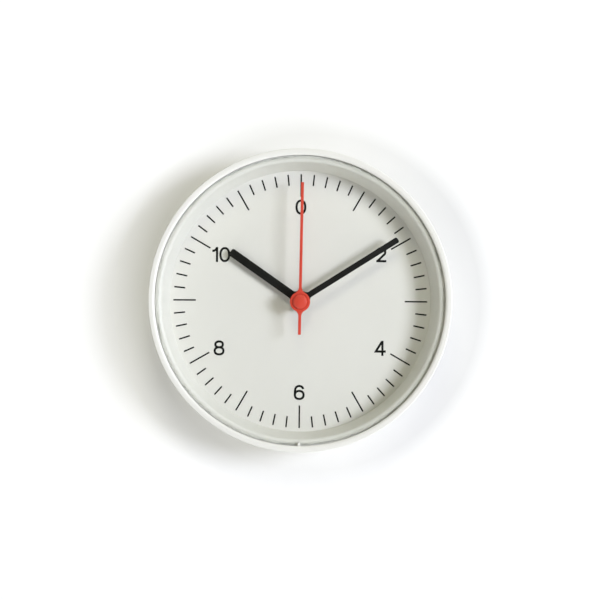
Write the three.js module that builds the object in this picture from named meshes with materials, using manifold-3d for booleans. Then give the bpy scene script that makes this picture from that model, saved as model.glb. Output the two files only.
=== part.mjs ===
// A round wall clock: a deep moulded case with a recessed dial, three hands under a flat lens, and a quartz
// movement with its motor, gear train, circuit and battery. All sizes are in millimetres.
//
// The pieces are modelled face up: X to the right of the dial, Y towards its zero mark, Z out of the wall,
// with the wall at Z 0 and the hands turning about X 0, Y 0. The finished group is then turned and lowered so
// that the clock hangs upright, +Z up and facing -Y, with its origin where the wall screw holds it.
import * as THREE from "three";
import { mergeVertices } from "three/addons/utils/BufferGeometryUtils.js";
import Module from "manifold-3d";

const wasm = await Module();
wasm.setup();

// ---------------------------------------------------------------- driving dimensions

const caseRadius = 132.5; // outside of the case
const caseDepth = 50; // wall to the crest of the rim
const outerWall = 2.5;
const innerWall = 2.5;
const floorThickness = 2.25; // the case's floor, which carries the dial and the movement
const rimWidth = 6.5; // outside of the case to the lens pocket
const rimRound = 3; // round of the rim's outer edge
const rimDrop = 1.5; // how far the rim falls from its crest to the lens pocket
const wallFootDraft = 0.25; // how far the inner wall leans in at its foot, over the next height
const wallFootHeight = 1.5;
const roundSegments = 48; // facets of the large round pieces
const smallSegments = 20; // facets of small round pieces

const lensGap = 0.4;
const lensSink = 0.25; // lens face below the rim's inner edge
const lensThickness = 2;
const lensSeatWidth = 3;
const tapeThickness = 0.25;
const tapeInset = 0.5; // tape edge to the edge of its seat
const keyWidth = 2.25; // the case's key in the lens's notch at the bottom of the dial
const keyLength = 3;
const keyGap = 0.6;
const shoulderRound = 2.75; // round from the lens seat to the inner wall
const recessDepth = 27; // dial face to the crest of the rim

const dialRadius = 115.25;
const dialThickness = 0.75;
const dialGap = 0.5;
const shaftHoleGap = 0.5; // bush to its hole in the dial and the case's floor

const coverRecess = 1; // cover's outer face behind the wall line
const coverThickness = 2;
const coverGap = 0.5;
const coverLedge = 1.5; // width of the step that the cover rests on
const coverLedgeHeight = 2.5;
const windowGap = 2; // movement to the opening behind it in the cover
const windowCorner = 3;
const keyholeHeight = 92; // centre of the entry hole above the hand axis
const keyholeRadius = 4.75;
const keyholeSlotWidth = 5;
const keyholeSlotLength = 8;
const screwCircle = 108;
const screwCount = 4;
const screwRadius = 1.2;
const screwLength = 8;
const screwHeadRadius = 2.9;
const screwHeadHeight = 1.5;
const screwHeadGap = 0.4;
const screwSeatDepth = 1;
const bossRadius = 3.6;
const pilotDepth = 10;

const movementTop = 28; // hand axis to the movement's upper side
const movementCorner = 2.5;
const movementDepth = 15.5;
const gasketThickness = 0.75;
const gasketSize = 40;
const housingWall = 1.25;
const frontPlate = 1.25;
const bushRadius = 4;
const bushHeight = 7.5; // above the front plate
const pinCircle = 22; // the movement's two locating pins
const pinRadius = 1.5;
const pinHeight = 1.5;
const pivotGap = 0.3; // running clearance of every small pivot and pipe

const washerThickness = 0.5;
const washerWidth = 3.5; // bush to the washer's rim
const nutThickness = 2.5;
const nutWall = 1.2; // least wall round the nut's thread

const handThickness = 0.75;
const hourHandLift = 6; // dial face to the top of the hand
const minuteHandLift = 13;
const secondHandLift = 18.5;
const hourHandLength = 75.5;
const hourHandWidth = 7.2;
const minuteHandLength = 101.5;
const minuteHandWidth = 5.2;
const secondHandLength = 103.75;
const secondHandTail = 29.75;
const secondHandWidth = 2.3;
const blackHubRadius = 8.4;
const redHubRadius = 8.85;
const handFillet = 3.5; // round between a black hand and its hub
const redFillet = 6;
const handBossRadius = 4.2;
const hourBossDepth = 2; // top of the hand to the bottom of its boss
const minuteBossDepth = 4;
const hourTipRound = 2;
const minuteTipRound = 1.6;
const secondTipRound = 0.4;
const tubeWall = 0.6; // brass tube that carries the second hand
const tubeProud = 0.5; // tube, arbors and pipes above the hands they carry
const tubeFlange = 1.5;
const tubeFlangeThickness = 0.5;
const capRadius = 6;
const capHeight = 1.75;
const hourHandAngle = 304.8; // degrees clockwise from the zero mark, at rest
const minuteHandAngle = 57.6;
const secondHandAngle = 0.75;

// Gear train, from the motor to the hands. A pinion turns the wheel that follows it.
const rotorPinionTeeth = 6;
const fifthWheelTeeth = 36;
const fifthPinionTeeth = 6;
const secondWheelTeeth = 30;
const secondPinionTeeth = 6;
const thirdWheelTeeth = 45;
const thirdPinionTeeth = 6;
const centreWheelTeeth = 48;
const cannonPinionTeeth = 10;
const minuteWheelTeeth = 30;
const minutePinionTeeth = 8;
const hourWheelTeeth = 32;
const rotorToFifth = 7; // distances between arbors
const fifthToCentre = 8.64;
const thirdToCentre = 8.5;
const minuteToCentre = 9;
const fifthBearing = 140; // direction of each arbor, degrees anticlockwise from +X
const rotorBearing = 115;
const thirdBearing = 20;
const minuteBearing = 85;
const wheelThickness = 0.75;
const thinArbor = 0.4; // radii
const knobArbor = 0.8;
const secondArbor = 0.6;
const minutePipe = 1.5;
const hourPipe = 2.5;

const knobRadius = 5.5;
const knobThickness = 2;
const magnetRadius = 2.5;
const magnetThickness = 2.5;
const statorThickness = 1;
const statorGap = 0.7; // magnet to the stator's hole
const batteryRadius = 7.25;
const batteryLength = 50.5;
const batteryNubLength = 1.2;
const batteryNubRadius = 2.75;
const batteryGap = 0.3;
const springRoom = 1.7; // left for the battery's spring at rest
const bayTop = -10.875; // the battery bay's wall towards the gears
const bayGap = 0.6875; // battery to the bay's upper and lower walls
const contactThickness = 0.5;
const boardThickness = 0.75;

// ---------------------------------------------------------------- heights worked out from them

const dialFace = caseDepth - recessDepth;
const floorTop = dialFace - dialThickness;
const floorBottom = floorTop - floorThickness;
const movementFront = floorBottom - gasketThickness;
const movementBack = movementFront - movementDepth;
const gearCeiling = movementFront - frontPlate;
const gearFloor = movementBack + housingWall;
const coverInside = coverRecess + coverThickness;
const bayLow = bayTop - 2 * (batteryRadius + bayGap);
const movementLow = bayLow - housingWall;
const halfMovement = (batteryLength + batteryGap + springRoom) / 2 + contactThickness + housingWall;
const halfInside = halfMovement - housingWall;
const shaftHoleRadius = bushRadius + shaftHoleGap;
const washerRadius = bushRadius + washerWidth;
const nutHalfAcross = bushRadius + pivotGap + nutWall;
const lensPocketRadius = caseRadius - rimWidth;
const lensRadius = lensPocketRadius - lensGap;
const seatInnerRadius = lensPocketRadius - lensSeatWidth;
const wallTopRadius = seatInnerRadius - shoulderRound;
const wallFootRadius = dialRadius + dialGap;
const lensFront = caseDepth - rimDrop - lensSink;
const lensBack = lensFront - lensThickness;
const lensSeat = lensBack - tapeThickness;

// Levels of the wheels above the gear floor.
const fifthWheelLevel = gearFloor + 0.5;
const secondWheelLevel = gearFloor + 2;
const thirdWheelLevel = gearFloor + 4;
const centreWheelLevel = gearFloor + 6;
const bridgeLevel = gearFloor + 7.75;
const bridgeThickness = 0.75;
const minuteWheelLevel = gearFloor + 9;
const hourWheelLevel = gearFloor + 10.5;
const statorLevel = gearFloor + 3.75;
const pivotDepth = 0.75; // how far a pivot runs into its plate

// ---------------------------------------------------------------- solids and cuts

// A closed geometry as a manifold solid, which joins and cuts.
function solidOf(geometry) {
  const bare = geometry.clone();
  bare.deleteAttribute("normal");
  bare.deleteAttribute("uv");
  const merged = mergeVertices(bare, 1e-4);
  return new wasm.Manifold(
    new wasm.Mesh({
      numProp: 3,
      vertProperties: merged.attributes.position.array,
      triVerts: new Uint32Array(merged.index.array),
    }),
  );
}

function geometryOf(solid) {
  const mesh = solid.getMesh();
  const geometry = new THREE.BufferGeometry();
  geometry.setAttribute("position", new THREE.BufferAttribute(mesh.vertProperties, 3));
  geometry.setIndex(new THREE.BufferAttribute(mesh.triVerts, 1));
  geometry.computeVertexNormals();
  return geometry;
}

const joined = (...pieces) => geometryOf(pieces.map(solidOf).reduce((sum, piece) => sum.add(piece)));
const cut = (body, ...tools) =>
  geometryOf(tools.map(solidOf).reduce((rest, tool) => rest.subtract(tool), solidOf(body)));

// A profile of [radius, height] points, outer side going up, turned about the Z axis.
function spun(profile, segments = smallSegments) {
  const points = profile.map(([radius, height]) => new THREE.Vector2(radius, height));
  if (profile[0][0] > 0) points.push(points[0].clone());
  return new THREE.LatheGeometry(points, segments).rotateX(Math.PI / 2);
}

function rod(radius, bottom, top, at = [0, 0], segments = smallSegments) {
  const profile = [
    [0, bottom],
    [radius, bottom],
    [radius, top],
    [0, top],
  ];
  return spun(profile, segments).translate(at[0], at[1], 0);
}

function pipe(outer, inner, bottom, top, at = [0, 0], segments = smallSegments) {
  const profile = [
    [outer, bottom],
    [outer, top],
    [inner, top],
    [inner, bottom],
  ];
  return spun(profile, segments).translate(at[0], at[1], 0);
}

function extruded(shape, bottom, top, curveSegments = 3) {
  const settings = { depth: top - bottom, bevelEnabled: false, curveSegments };
  return new THREE.ExtrudeGeometry(shape, settings).translate(0, 0, bottom);
}

function block(low, high) {
  const size = high.map((value, axis) => value - low[axis]);
  const centre = high.map((value, axis) => (value + low[axis]) / 2);
  return new THREE.BoxGeometry(...size).translate(...centre);
}

// Points of an arc in the profile plane, from one angle to another in degrees.
function arc(centreRadius, centreHeight, radius, from, to, steps) {
  return Array.from({ length: steps + 1 }, (_, step) => {
    const angle = THREE.MathUtils.degToRad(from + ((to - from) * step) / steps);
    return [centreRadius + radius * Math.cos(angle), centreHeight + radius * Math.sin(angle)];
  });
}

function roundedRectangle(width, height, corner, centreX = 0, centreY = 0) {
  const shape = new THREE.Shape();
  const x = centreX + width / 2 - corner;
  const y = centreY + height / 2 - corner;
  const left = centreX - width / 2 + corner;
  const low = centreY - height / 2 + corner;
  shape.absarc(x, low, corner, -Math.PI / 2, 0);
  shape.absarc(x, y, corner, 0, Math.PI / 2);
  shape.absarc(left, y, corner, Math.PI / 2, Math.PI);
  shape.absarc(left, low, corner, Math.PI, 1.5 * Math.PI);
  return shape;
}

// The movement's outline, wider all round by the margin.
function movementOutline(margin = 0, corner = movementCorner) {
  const height = movementTop - movementLow + 2 * margin;
  return roundedRectangle(2 * (halfMovement + margin), height, corner, 0, (movementTop + movementLow) / 2);
}

const polar = (radius, degrees) => {
  const angle = THREE.MathUtils.degToRad(degrees);
  return [radius * Math.cos(angle), radius * Math.sin(angle)];
};

// ---------------------------------------------------------------- gears

const addendum = 0.85; // in modules, as are the next three
const dedendum = 1.25;
const flankSlope = 0.3; // how much half a tooth narrows per unit of height
const wheelToothShare = 0.42; // tooth thickness at the pitch circle, as a share of the pitch
const pinionToothShare = 0.4;
const mostPinionTeeth = 12;

// A spur gear's outline. Wheels have straight flanks; pinions have radial ones below the pitch circle.
// The middle of one tooth stands at the angle phase, in radians.
function gearOutline(teeth, module, phase) {
  const pitchRadius = (module * teeth) / 2;
  const isPinion = teeth <= mostPinionTeeth;
  const share = isPinion ? pinionToothShare : wheelToothShare;
  const halfTooth = (Math.PI * module * share) / 2;
  const tip = pitchRadius + addendum * module;
  const root = pitchRadius - dedendum * module;
  const tipHalf = (halfTooth - addendum * module * flankSlope) / tip;
  const pitchHalf = halfTooth / pitchRadius;
  const rootHalf = (halfTooth + dedendum * module * flankSlope) / root;
  const rightFlank = isPinion
    ? [[root, pitchHalf], [pitchRadius, pitchHalf], [tip, tipHalf]]
    : [[root, rootHalf], [tip, tipHalf]];
  const leftFlank = rightFlank.map(([radius, turn]) => [radius, -turn]);
  const corners = [...leftFlank, ...rightFlank.reverse()];
  const points = [];
  for (let tooth = 0; tooth < teeth; tooth += 1) {
    const middle = phase + (2 * Math.PI * tooth) / teeth;
    for (const [radius, turn] of corners) {
      points.push(new THREE.Vector2(radius * Math.cos(middle + turn), radius * Math.sin(middle + turn)));
    }
  }
  return new THREE.Shape(points);
}

function gear(teeth, module, phase, bottom, top, at) {
  return extruded(gearOutline(teeth, module, phase), bottom, top).translate(at[0], at[1], 0);
}

function wheel(teeth, module, phase, level, at) {
  return gear(teeth, module, phase, level, level + wheelThickness, at);
}

// The phase that puts a gear in mesh with its driver: a tooth of one faces a gap of the other.
function meshedPhase(driverTeeth, driverPhase, driverAt, teeth, at) {
  const bearing = Math.atan2(at[1] - driverAt[1], at[0] - driverAt[0]);
  const driverOffset = ((bearing - driverPhase) * driverTeeth) / (2 * Math.PI);
  return bearing + Math.PI - ((0.5 - driverOffset) * 2 * Math.PI) / teeth;
}

const moduleFor = (distance, teeth, otherTeeth) => (2 * distance) / (teeth + otherTeeth);

const centre = [0, 0];
const fifthAt = polar(fifthToCentre, fifthBearing);
const rotorAt = polar(rotorToFifth, rotorBearing).map((value, axis) => value + fifthAt[axis]);
const thirdAt = polar(thirdToCentre, thirdBearing);
const minuteAt = polar(minuteToCentre, minuteBearing);

const rotorModule = moduleFor(rotorToFifth, rotorPinionTeeth, fifthWheelTeeth);
const secondModule = moduleFor(fifthToCentre, fifthPinionTeeth, secondWheelTeeth);
const thirdModule = moduleFor(thirdToCentre, secondPinionTeeth, thirdWheelTeeth);
const centreModule = moduleFor(thirdToCentre, thirdPinionTeeth, centreWheelTeeth);
const minuteModule = moduleFor(minuteToCentre, cannonPinionTeeth, minuteWheelTeeth);
const hourModule = moduleFor(minuteToCentre, minutePinionTeeth, hourWheelTeeth);

// ---------------------------------------------------------------- materials and naming

function paint(color, roughness, metalness = 0) {
  return new THREE.MeshStandardMaterial({ color, roughness, metalness });
}

const whitePlastic = paint("#eeede7", 0.45);
const dialWhite = paint("#e1e2db", 0.7);
const clear = paint("#f4f7f6", 0.05);
const handBlack = paint("#1b1b18", 0.5);
const handRed = paint("#d64a38", 0.45);
const blackPlastic = paint("#232324", 0.55);
const gearPlastic = paint("#e8e4d6", 0.5);
const brass = paint("#c6a257", 0.3, 1);
const steel = paint("#b9bbbd", 0.3, 1);
const darkRubber = paint("#2b2b2b", 0.9);
const copper = paint("#b3642f", 0.35, 1);
const board = paint("#2f6b46", 0.6);
const magnetGrey = paint("#4b4b4e", 0.5, 0.6);
const batterySleeve = paint("#3a4a52", 0.4);

clear.transparent = true;
clear.opacity = 0.2;

const clock = new THREE.Group();

function add(name, geometry, material) {
  const mesh = new THREE.Mesh(geometry, material);
  mesh.name = name;
  clock.add(mesh);
  return mesh;
}

// ---------------------------------------------------------------- case, lens and dial

// The case is one moulding: the outer wall, the rim, the tapered inner wall and the floor.
function caseShell() {
  const inside = caseRadius - outerWall;
  const rimCrest = caseRadius - rimRound;
  const underSeat = lensSeat - innerWall;
  const profile = [
    [caseRadius, 0],
    ...arc(rimCrest, caseDepth - rimRound, rimRound, 0, 90, 4),
    [rimCrest - 1.1, caseDepth - 0.2],
    [lensPocketRadius + 1, caseDepth - 0.8],
    [lensPocketRadius, caseDepth - rimDrop],
    [lensPocketRadius, lensSeat],
    ...arc(seatInnerRadius, lensSeat - shoulderRound, shoulderRound, 90, 180, 3),
    [wallFootRadius + wallFootDraft, dialFace + wallFootHeight],
    [wallFootRadius, floorTop],
    [shaftHoleRadius, floorTop],
    [shaftHoleRadius, floorBottom],
    [wallFootRadius + innerWall, floorBottom],
    [wallTopRadius + innerWall, underSeat - shoulderRound],
    [seatInnerRadius + 1, underSeat],
    [inside, underSeat],
    [inside, coverInside + coverLedgeHeight + coverLedge],
    [inside - coverLedge, coverInside + coverLedgeHeight],
    [inside - coverLedge, coverInside],
    [inside, coverInside],
    [inside, 0],
  ];
  const key = block(
    [-keyWidth / 2, -lensPocketRadius - 0.5, lensSeat],
    [keyWidth / 2, -lensPocketRadius + keyLength, lensFront],
  );
  const bosses = screwPlaces().map((at) => rod(bossRadius, coverInside, floorBottom + 0.5, at, 12));
  const pilots = screwPlaces().map((at) => rod(screwRadius + pivotGap, 0, coverInside + pilotDepth, at, 8));
  const pinHoles = pinPlaces().map((at) =>
    rod(pinRadius + pivotGap, movementFront, movementFront + gasketThickness + pinHeight, at, 12),
  );
  return cut(joined(spun(profile, roundSegments), key, ...bosses), ...pilots, ...pinHoles);
}

function screwPlaces() {
  const step = 360 / screwCount;
  return Array.from({ length: screwCount }, (_, index) => polar(screwCircle, (index + 0.5) * step));
}

function pinPlaces() {
  return [polar(pinCircle, 0), polar(pinCircle, 180)];
}

function frontLens() {
  const disc = rod(lensRadius, lensBack, lensFront, centre, roundSegments);
  const halfNotch = keyWidth / 2 + keyGap;
  const notch = block(
    [-halfNotch, -lensRadius - 1, lensBack - 1],
    [halfNotch, -lensPocketRadius + keyLength + keyGap, lensFront + 1],
  );
  return cut(disc, notch);
}

// Clear tape that bonds the lens to its seat, open where the case's key stands.
function lensTape() {
  const outer = lensPocketRadius - tapeInset;
  const ring = pipe(outer, seatInnerRadius + tapeInset, lensSeat, lensBack, centre, roundSegments);
  const halfGap = keyWidth / 2 + keyGap;
  const low = [-halfGap, -caseRadius, lensSeat - 1];
  return cut(ring, block(low, [halfGap, -seatInnerRadius + keyLength, lensFront]));
}

function dialPlate() {
  return pipe(dialRadius, shaftHoleRadius, floorTop, dialFace, centre, roundSegments);
}

add("case_shell", caseShell(), whitePlastic);
add("front_lens", frontLens(), clear);
add("lens_tape", lensTape(), clear);
add("dial_plate", dialPlate(), dialWhite);

// ---------------------------------------------------------------- back cover and its screws

function backCover() {
  const outer = caseRadius - outerWall - coverGap;
  const slotHalf = keyholeSlotWidth / 2;
  const neck = Math.acos(slotHalf / keyholeRadius);
  const keyhole = new THREE.Shape();
  keyhole.absarc(0, keyholeHeight + keyholeSlotLength, slotHalf, 0, Math.PI);
  keyhole.absarc(0, keyholeHeight, keyholeRadius, Math.PI - neck, 2 * Math.PI + neck);
  const plate = rod(outer, coverRecess, coverInside, centre, roundSegments);
  const past = coverInside + 1;
  const window = extruded(movementOutline(windowGap, windowCorner), 0, past);
  const holes = screwPlaces().map((at) => rod(screwRadius + screwHeadGap, 0, past, at));
  const seats = screwPlaces().map((at) =>
    rod(screwHeadRadius + screwHeadGap, 0, coverRecess + screwSeatDepth, at),
  );
  return cut(plate, window, extruded(keyhole, 0, past, 6), ...holes, ...seats);
}

// A pan-head screw with a cross recess, its head towards the wall.
function coverScrew() {
  const bottom = coverRecess + screwSeatDepth - screwHeadHeight;
  const seat = coverRecess + screwSeatDepth;
  const profile = [
    [0, bottom],
    [screwHeadRadius - 0.7, bottom],
    [screwHeadRadius, bottom + 0.6],
    [screwHeadRadius, seat],
    [screwRadius, seat],
    [screwRadius, seat + screwLength - 1],
    [0, seat + screwLength],
  ];
  const arm = 1.7;
  const halfSlot = 0.35;
  const depth = bottom + 0.8;
  return cut(
    spun(profile, 12),
    block([-arm, -halfSlot, bottom - 1], [arm, halfSlot, depth]),
    block([-halfSlot, -arm, bottom - 1], [halfSlot, arm, depth]),
  );
}

add("back_cover", backCover(), whitePlastic);
screwPlaces().forEach(([x, y], index) => {
  add(`cover_screw_${index + 1}`, coverScrew(), steel).position.set(x, y, 0);
});

// ---------------------------------------------------------------- hands

// A hand's outline, pointing to +Y: a round hub that flows into a straight blade with rounded corners, and,
// where tail is given, into a second blade to -Y.
function handOutline(hub, width, length, fillet, tipRound, tail = 0) {
  const half = width / 2;
  const reach = Math.sqrt((hub + fillet) ** 2 - (half + fillet) ** 2); // height of the fillet's centre
  const touch = Math.atan2(reach, half + fillet);
  const shape = new THREE.Shape();
  shape.moveTo(half, length - tipRound);
  shape.absarc(half - tipRound, length - tipRound, tipRound, 0, Math.PI / 2);
  shape.absarc(-half + tipRound, length - tipRound, tipRound, Math.PI / 2, Math.PI);
  shape.absarc(-half - fillet, reach, fillet, 0, -touch, true);
  if (tail) {
    shape.absarc(0, 0, hub, Math.PI - touch, Math.PI + touch);
    shape.absarc(-half - fillet, -reach, fillet, touch, 0, true);
    shape.lineTo(-half, -tail);
    shape.lineTo(half, -tail);
    shape.absarc(half + fillet, -reach, fillet, Math.PI, Math.PI - touch, true);
    shape.absarc(0, 0, hub, -touch, touch);
  } else {
    shape.absarc(0, 0, hub, Math.PI - touch, 2 * Math.PI + touch);
  }
  shape.absarc(half + fillet, reach, fillet, Math.PI + touch, Math.PI, true);
  return shape;
}

// A hand on its pipe: the blade, and a boss below it that grips the pipe.
function handOnPipe(outline, top, bossBottom, pipeRadius) {
  const blade = extruded(outline, top - handThickness, top, 4);
  const boss = rod(handBossRadius, bossBottom, top - handThickness / 2);
  return cut(joined(blade, boss), rod(pipeRadius + pivotGap, bossBottom - 1, top + 1));
}

const hourHandTop = dialFace + hourHandLift;
const minuteHandTop = dialFace + minuteHandLift;
const secondHandTop = dialFace + secondHandLift;

function placeHand(name, geometry, material, angle) {
  add(name, geometry, material).rotation.z = -THREE.MathUtils.degToRad(angle);
}

function secondHand() {
  const size = [redHubRadius, secondHandWidth, secondHandLength, redFillet, secondTipRound, secondHandTail];
  const blade = extruded(handOutline(...size), secondHandTop - handThickness, secondHandTop, 4);
  return cut(blade, rod(tubeRadius + pivotGap, 0, caseDepth));
}

const tubeRadius = secondArbor + pivotGap + tubeWall;
const tubeTop = secondHandTop + tubeProud;
const tubeBottom = minuteHandTop + 1;

function secondHandTube() {
  const bore = secondArbor + pivotGap;
  const seat = secondHandTop - handThickness;
  const flange = pipe(tubeRadius + tubeFlange, bore, seat - tubeFlangeThickness, seat);
  return joined(pipe(tubeRadius, bore, tubeBottom, tubeTop), flange);
}

// The round cap that hides the tube: closed at the front, hollow behind.
function secondHandCap() {
  const top = secondHandTop + capHeight;
  const edge = 0.4;
  return spun(
    [
      [capRadius, secondHandTop],
      [capRadius, top - edge],
      [capRadius - edge, top],
      [0, top],
      [0, tubeTop + pivotGap],
      [tubeRadius + pivotGap, tubeTop + pivotGap],
      [tubeRadius + pivotGap, secondHandTop],
      [capRadius, secondHandTop],
    ],
    smallSegments,
  );
}

placeHand(
  "hour_hand",
  handOnPipe(
    handOutline(blackHubRadius, hourHandWidth, hourHandLength, handFillet, hourTipRound),
    hourHandTop,
    hourHandTop - hourBossDepth,
    hourPipe,
  ),
  handBlack,
  hourHandAngle,
);
placeHand(
  "minute_hand",
  handOnPipe(
    handOutline(blackHubRadius, minuteHandWidth, minuteHandLength, handFillet, minuteTipRound),
    minuteHandTop,
    minuteHandTop - minuteBossDepth,
    minutePipe,
  ),
  handBlack,
  minuteHandAngle,
);
placeHand("second_hand", secondHand(), handRed, secondHandAngle);
add("second_hand_tube", secondHandTube(), brass);
add("second_hand_cap", secondHandCap(), handRed);

// ---------------------------------------------------------------- what clamps the movement to the floor

function hexNut() {
  const corner = nutHalfAcross / Math.cos(Math.PI / 6);
  const shape = new THREE.Shape(
    Array.from({ length: 6 }, (_, index) => new THREE.Vector2(...polar(corner, 30 + 60 * index))),
  );
  const bottom = dialFace + washerThickness;
  return cut(
    extruded(shape, bottom, bottom + nutThickness),
    rod(bushRadius + pivotGap, bottom - 1, bottom + nutThickness + 1),
  );
}

add("centre_nut", hexNut(), brass);
add(
  "nut_washer",
  pipe(washerRadius, bushRadius + pivotGap, dialFace, dialFace + washerThickness),
  brass,
);

function rubberGasket() {
  const shape = roundedRectangle(gasketSize, gasketSize, 4);
  return cut(extruded(shape, movementFront, floorBottom), rod(bushRadius + pivotGap, 0, caseDepth));
}

add("rubber_gasket", rubberGasket(), darkRubber);

// ---------------------------------------------------------------- movement housing

const batteryY = (bayTop + bayLow) / 2;
const batteryZ = gearCeiling - batteryGap - batteryRadius;
const plugInset = 0.875; // the bay wall stops this far from the side walls, to let the contacts past

// The rear housing: an open box with a gear chamber closed towards the wall and a battery bay open to it.
function rearHousing() {
  const outside = extruded(movementOutline(), movementBack, gearCeiling);
  const insideTop = movementTop - housingWall;
  const chamber = block(
    [-halfInside, bayTop + housingWall, gearFloor],
    [halfInside, insideTop, gearCeiling + 1],
  );
  const bay = block([-halfInside, bayLow, movementBack - 1], [halfInside, bayTop, gearCeiling + 1]);
  const passes = [-1, 1].map((side) => {
    const inner = side * (halfInside - plugInset);
    const outer = side * halfInside;
    return block(
      [Math.min(inner, outer), bayTop - 1, gearFloor],
      [Math.max(inner, outer), bayTop + housingWall + 1, gearCeiling + 1],
    );
  });
  const pivots = [centre, fifthAt, rotorAt, thirdAt].map((at) => {
    const arbor = at === centre ? secondArbor : thinArbor;
    return rod(arbor + pivotGap, gearFloor - pivotDepth, gearFloor + 1, at, 12);
  });
  const knobHole = rod(knobArbor + 3 * pivotGap, movementBack - 1, gearFloor + 1, minuteAt);
  const posts = bridgePosts.map((at) => rod(postRadius, gearFloor - 0.5, bridgeLevel, at, 16));
  return joined(cut(outside, chamber, bay, ...passes, ...pivots, knobHole), ...posts);
}

const postRadius = 1.5;
const bridgePosts = [
  [-13.5, -5.5],
  [14.5, -5.5],
  [14.5, 14],
  [-15.5, 4],
];

// The plate that carries the front pivots of the rotor, the fifth wheel and the third wheel.
function bridgePlate() {
  const shape = roundedRectangle(34, 25, 2, 0, 4);
  const pivots = [rotorAt, fifthAt, thirdAt].map((at) => rod(thinArbor + pivotGap, 0, caseDepth, at, 8));
  return cut(
    extruded(shape, bridgeLevel, bridgeLevel + bridgeThickness),
    ...pivots,
    rod(minutePipe + pivotGap, 0, caseDepth, centre, 16),
    rod(knobArbor + pivotGap, 0, caseDepth, minuteAt, 12),
  );
}

// The front housing: a plate with the bush that passes through the case's floor and takes the nut.
function frontHousing() {
  const plate = extruded(movementOutline(), gearCeiling, movementFront);
  const bush = rod(bushRadius, gearCeiling, movementFront + bushHeight);
  const pins = pinPlaces().map((at) => rod(pinRadius, gearCeiling, movementFront + pinHeight, at, 12));
  return cut(
    joined(plate, bush, ...pins),
    rod(hourPipe + pivotGap, gearCeiling - 1, caseDepth),
    rod(knobArbor + pivotGap, gearCeiling - 1, gearCeiling + pivotDepth, minuteAt, 12),
  );
}

add("rear_housing", rearHousing(), blackPlastic);
add("bridge_plate", bridgePlate(), gearPlastic);
add("front_housing", frontHousing(), blackPlastic);

// ---------------------------------------------------------------- gear train

const secondPhase = 0;
const fifthPinionPhase = meshedPhase(secondWheelTeeth, secondPhase, centre, fifthPinionTeeth, fifthAt);
const rotorPhase = meshedPhase(fifthWheelTeeth, 0, fifthAt, rotorPinionTeeth, rotorAt);
const thirdWheelPhase = meshedPhase(secondPinionTeeth, secondPhase, centre, thirdWheelTeeth, thirdAt);
const centreWheelPhase = meshedPhase(thirdPinionTeeth, 0, thirdAt, centreWheelTeeth, centre);
const minuteWheelPhase = meshedPhase(cannonPinionTeeth, 0, centre, minuteWheelTeeth, minuteAt);
const hourWheelPhase = meshedPhase(minutePinionTeeth, 0, minuteAt, hourWheelTeeth, centre);
const pivotFloor = gearFloor - pivotDepth + 0.15;
const pivotTop = bridgeLevel + bridgeThickness - 0.15;

function rotorPinion() {
  return joined(
    gear(rotorPinionTeeth, rotorModule, rotorPhase, gearFloor + 0.25, gearFloor + 2.25, rotorAt),
    rod(thinArbor, pivotFloor, pivotTop, rotorAt, 12),
  );
}

function rotorMagnet() {
  const bottom = statorLevel + statorThickness / 2 - magnetThickness / 2;
  return pipe(magnetRadius, thinArbor + pivotGap, bottom, bottom + magnetThickness, rotorAt);
}

function fifthWheel() {
  const fifthPinionTop = secondWheelLevel + 1.5;
  return joined(
    wheel(fifthWheelTeeth, rotorModule, 0, fifthWheelLevel, fifthAt),
    gear(fifthPinionTeeth, secondModule, fifthPinionPhase, fifthWheelLevel + 0.5, fifthPinionTop, fifthAt),
    rod(thinArbor, pivotFloor, pivotTop, fifthAt, 12),
  );
}

function secondWheel() {
  return joined(
    wheel(secondWheelTeeth, secondModule, secondPhase, secondWheelLevel, centre),
    gear(secondPinionTeeth, thirdModule, secondPhase, secondWheelLevel + 0.5, thirdWheelLevel + 1.15, centre),
    rod(secondArbor, pivotFloor, tubeTop - 0.5, centre, 16),
  );
}

function thirdWheel() {
  return joined(
    wheel(thirdWheelTeeth, thirdModule, thirdWheelPhase, thirdWheelLevel, thirdAt),
    gear(thirdPinionTeeth, centreModule, 0, thirdWheelLevel + 0.5, centreWheelLevel + 1, thirdAt),
    rod(thinArbor, pivotFloor, pivotTop, thirdAt, 12),
  );
}

function centreWheel() {
  return cut(
    wheel(centreWheelTeeth, centreModule, centreWheelPhase, centreWheelLevel, centre),
    rod(minutePipe + pivotGap, centreWheelLevel - 1, centreWheelLevel + 2),
  );
}

// A slotted spring washer that presses the centre wheel against the arbor's shoulder, so it can slip.
function clutchSpring() {
  const bottom = centreWheelLevel + wheelThickness;
  const ring = pipe(3.5, minutePipe + pivotGap, bottom, bottom + 0.5);
  return cut(ring, block([0, -0.5, bottom - 1], [5, 0.5, bottom + 1]));
}

// The minute arbor: a pipe with the shoulder below the centre wheel and the cannon pinion above it.
function minuteArbor() {
  const bottom = centreWheelLevel - 0.6;
  return cut(
    joined(
      rod(minutePipe, bottom, minuteHandTop + 0.5),
      rod(minutePipe + 0.9, bottom, centreWheelLevel - 0.1),
      gear(cannonPinionTeeth, minuteModule, 0, bridgeLevel + 1, hourWheelLevel - 0.25, centre),
    ),
    rod(secondArbor + pivotGap, bottom - 1, caseDepth),
  );
}

function minuteWheel() {
  return joined(
    wheel(minuteWheelTeeth, minuteModule, minuteWheelPhase, minuteWheelLevel, minuteAt),
    gear(minutePinionTeeth, hourModule, 0, minuteWheelLevel + 0.5, hourWheelLevel + 1.5, minuteAt),
    rod(knobArbor, movementBack - 0.75, gearCeiling + pivotDepth - 0.15, minuteAt, 16),
  );
}

function hourWheel() {
  return cut(
    joined(
      gear(hourWheelTeeth, hourModule, hourWheelPhase, hourWheelLevel, hourWheelLevel + 1, centre),
      rod(hourPipe, hourWheelLevel, hourHandTop + 0.5),
    ),
    rod(minutePipe + pivotGap, hourWheelLevel - 1, caseDepth),
  );
}

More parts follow.
